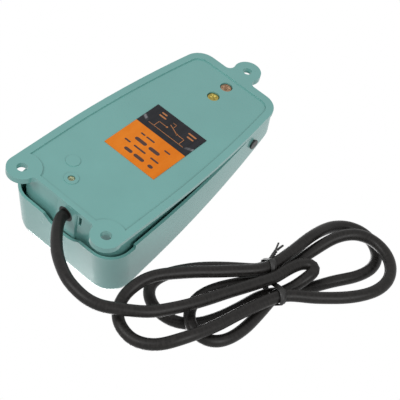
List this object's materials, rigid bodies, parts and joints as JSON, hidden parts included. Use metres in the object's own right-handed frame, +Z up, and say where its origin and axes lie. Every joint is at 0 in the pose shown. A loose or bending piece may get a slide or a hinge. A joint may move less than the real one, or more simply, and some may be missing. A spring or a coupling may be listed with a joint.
{
  "type": "sewing machine foot switch",
  "caption": "Sea-green cast foot switch for a sewing machine: sprung pedal hinged over an eared base plate, roller-lever snap switch inside, black cord tied in a hank",
  "frame": {"origin": "centre of the bounding box of the switch without its cord, on the floor under the base plate", "axes": "+Z up from the floor to the tread, +Y from the cord's end to the hinge end, +X to the right"},
  "size_m": [0.1863, 0.1942, 0.0523],
  "materials": {
    "base_paint": "semi-gloss sea-green enamel on a casting",
    "pedal_paint": "semi-gloss sea-green enamel on a casting",
    "steel": "plain turned steel",
    "zinc_steel": "zinc-plated, slightly yellow",
    "brass": "yellow brass, dulled",
    "copper": "beryllium copper sheet",
    "nylon": "natural nylon",
    "switch_plastic": "black phenolic",
    "red_plastic": "red plunger",
    "black_rubber": "black rubber",
    "cord_jacket": "black cord jacket with a soft sheen",
    "wire_brown": "brown insulation",
    "wire_blue": "blue insulation",
    "label": "orange and black printed plate"
  },
  "bodies": {
    "base_body": {"base": "base_paint", "hinge_washers": "nylon", "return_spring": "steel", "press_buffers": "black_rubber", "switch_plate": "zinc_steel", "plate_screws": "brass", "switch_case": "switch_plastic", "switch_cover": "switch_plastic", "switch_screws": "zinc_steel", "switch_nuts": "zinc_steel", "switch_terminals": "brass", "lever_pin": "steel", "terminal_block": "nylon", "terminal_screws": "brass", "block_screw": "zinc_steel", "cord_bush": "black_rubber", "cord_stub": "cord_jacket", "cord_clamp": "zinc_steel", "clamp_screw": "brass", "cord_cores": "wire_brown", "link_wires": "wire_blue", "label_plate": "label", "cord": "cord_jacket", "cord_hank": "cord_jacket", "cord_tie": "black_rubber"},
    "pedal_body": {"pedal": "pedal_paint", "hinge_pin": "steel"},
    "lever_body": {"switch_lever": "steel", "roller_pin": "steel"},
    "roller_body": {"lever_roller": "nylon"},
    "blade_body": {"switch_blade": "copper"},
    "plunger_body": {"switch_plunger": "red_plastic"}
  },
  "joints": [
    {"name": "pedal_hinge", "type": "hinge", "parent": "base_body", "child": "pedal_body", "pos_m": [0, 0.043, 0.0115], "axis": [1, 0, 0], "range_deg": [0, 4], "stiffness_Nm_per_rad": 4, "springref_deg": -8.59, "deforming": ["return_spring"]},
    {"name": "lever_hinge", "type": "hinge", "parent": "base_body", "child": "lever_body", "pos_m": [0, 0.0078, 0.0271], "axis": [1, 0, 0], "range_deg": [0, 8.9]},
    {"name": "roller_spin", "type": "hinge", "parent": "lever_body", "child": "roller_body", "pos_m": [0, -0.02176, 0.03644], "axis": [1, 0, 0], "continuous": true},
    {"name": "blade_hinge", "type": "hinge", "parent": "base_body", "child": "blade_body", "pos_m": [0, -0.011, 0.0195], "axis": [1, 0, 0], "range_deg": [-6.1, 0]},
    {"name": "plunger_slide", "type": "slide", "parent": "base_body", "child": "plunger_body", "axis": [0, 0, 1], "range_m": [-0.00115, 0]}
  ],
  "couplings": [
    {"joint": "lever_hinge", "follows": "pedal_hinge", "ratio": 2.2144},
    {"joint": "blade_hinge", "follows": "pedal_hinge", "ratio": -1.5},
    {"joint": "plunger_slide", "follows": "pedal_hinge", "m_per_rad": -0.016166}
  ]
}
